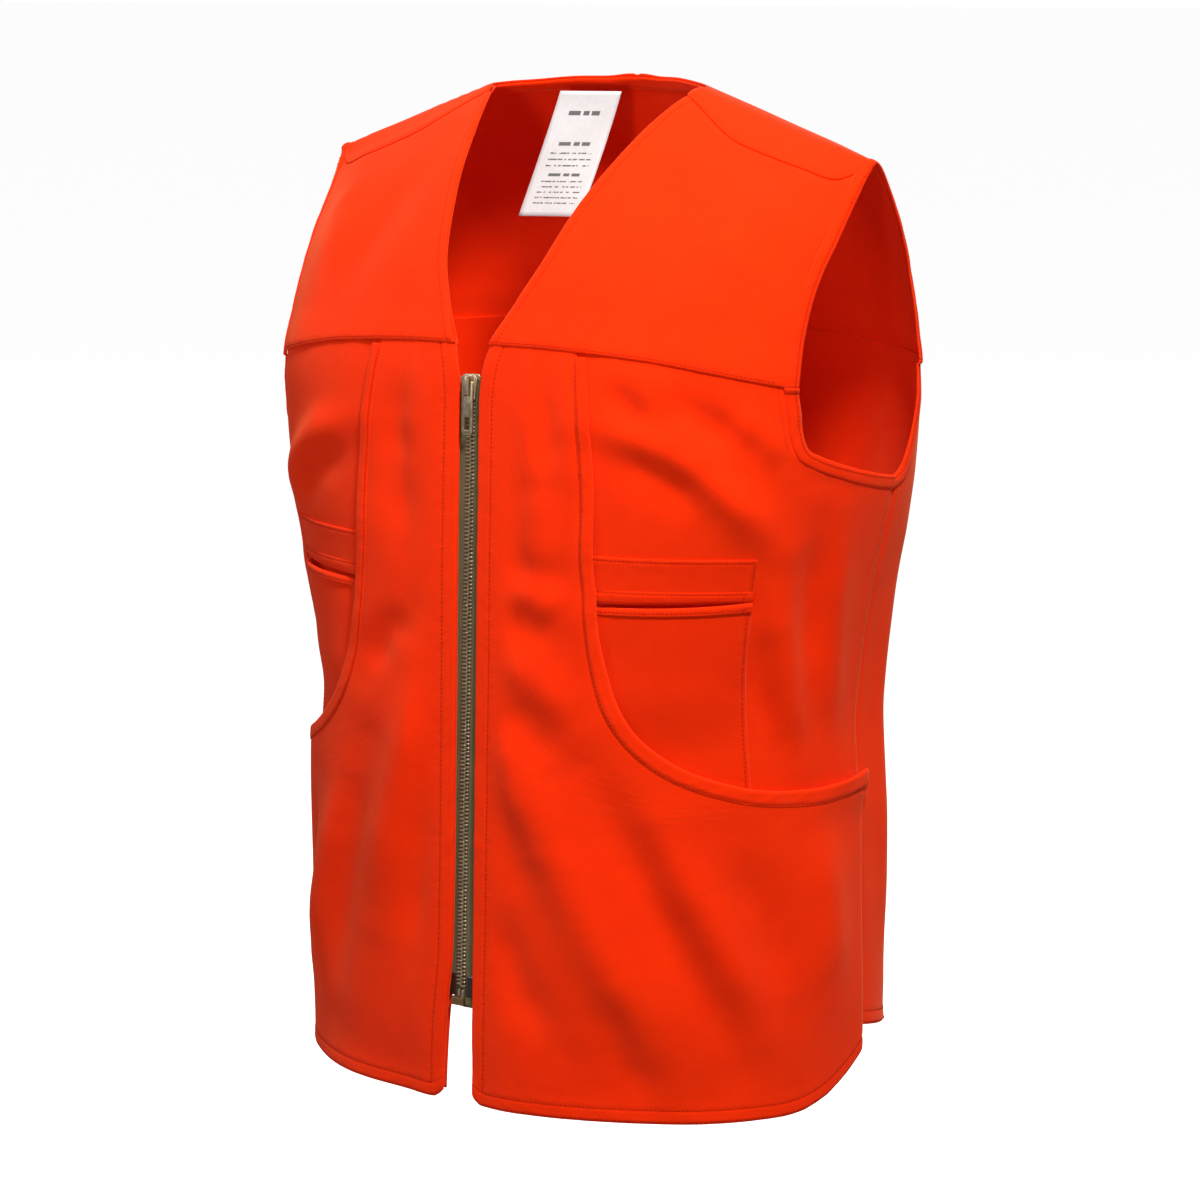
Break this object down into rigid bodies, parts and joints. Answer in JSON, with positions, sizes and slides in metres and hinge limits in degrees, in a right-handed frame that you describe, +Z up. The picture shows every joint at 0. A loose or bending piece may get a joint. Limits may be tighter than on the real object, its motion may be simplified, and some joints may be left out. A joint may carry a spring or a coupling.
{
  "type": "field vest",
  "caption": "Sleeveless blaze orange field vest with shoulder yokes, V neck, front zip, slit chest pockets, curved apron pockets and side vents.",
  "frame": {"origin": "middle of the shoulder line, level with the two neck points, where the vest rests on the wearer or a hanger", "axes": "+Z up from hem to shoulders; the zipped front faces -Y; +X is the viewer's right when looking at the front"},
  "size_m": [0.4496, 0.2875, 0.6519],
  "materials": {
    "orange_cloth": "matte twill, fluorescent orange",
    "zip_tape": "matte woven tape, olive brown",
    "label_satin": "soft satin",
    "zip_metal": "pale antique, lightly worn",
    "aged_brass": "dark aged",
    "tape_film": "dark brown reinforcing film"
  },
  "bodies": {
    "back_and_shoulders": {"back_panel": "orange_cloth", "back_yoke": "orange_cloth", "back_neck_facing": "orange_cloth", "back_hem": "orange_cloth", "size_label": "label_satin", "front_yoke_right": "orange_cloth", "neck_facing_right": "orange_cloth", "armhole_binding_yoke_right": "orange_cloth", "armhole_binding_shoulder_right": "orange_cloth", "armhole_binding_back_right": "orange_cloth", "front_yoke_left": "orange_cloth", "neck_facing_left": "orange_cloth", "armhole_binding_yoke_left": "orange_cloth", "armhole_binding_shoulder_left": "orange_cloth", "armhole_binding_back_left": "orange_cloth"},
    "front_right": {"front_panel_right": "orange_cloth", "pocket_apron_right": "orange_cloth", "pocket_apron_binding_right": "orange_cloth", "chest_pocket_band_right": "orange_cloth", "chest_pocket_upper_welt_right": "orange_cloth", "chest_pocket_lower_welt_right": "orange_cloth", "chest_pocket_patch_right": "orange_cloth", "front_hem_right": "orange_cloth", "zip_facing_right": "orange_cloth", "armhole_binding_front_right": "orange_cloth", "zip_tape_right": "zip_tape", "zip_chain_right": "zip_metal", "zip_top_stop_right": "zip_metal", "zip_tape_film_right": "tape_film", "zip_insertion_pin": "zip_metal"},
    "front_left": {"front_panel_left": "orange_cloth", "pocket_apron_left": "orange_cloth", "pocket_apron_binding_left": "orange_cloth", "chest_pocket_band_left": "orange_cloth", "chest_pocket_upper_welt_left": "orange_cloth", "chest_pocket_lower_welt_left": "orange_cloth", "chest_pocket_patch_left": "orange_cloth", "front_hem_left": "orange_cloth", "zip_facing_left": "orange_cloth", "armhole_binding_front_left": "orange_cloth", "zip_tape_left": "zip_tape", "zip_chain_left": "zip_metal", "zip_top_stop_left": "zip_metal", "zip_tape_film_left": "tape_film", "zip_retainer_pin": "zip_metal", "zip_retainer_box": "aged_brass"},
    "slider": {"zip_slider": "zip_metal"},
    "pull": {"zip_pull": "zip_metal"}
  },
  "joints": [
    {"name": "slider_slide", "type": "slide", "parent": "front_left", "child": "slider", "axis": [0, -0.038, -0.9993], "range_m": [0, 0.378]},
    {"name": "pull_swing", "type": "hinge", "parent": "slider", "child": "pull", "pos_m": [0, -0.15027, -0.18095], "axis": [-1, 0, 0], "range_deg": [0, 150]},
    {"name": "front_right_open", "type": "hinge", "parent": "back_and_shoulders", "child": "front_right", "pos_m": [0.2225, -0.001, -0.4], "axis": [0, 0, 1], "range_deg": [0, 35]},
    {"name": "front_left_open", "type": "hinge", "parent": "back_and_shoulders", "child": "front_left", "pos_m": [-0.2225, -0.001, -0.4], "axis": [0, 0, -1], "range_deg": [0, 35]}
  ]
}
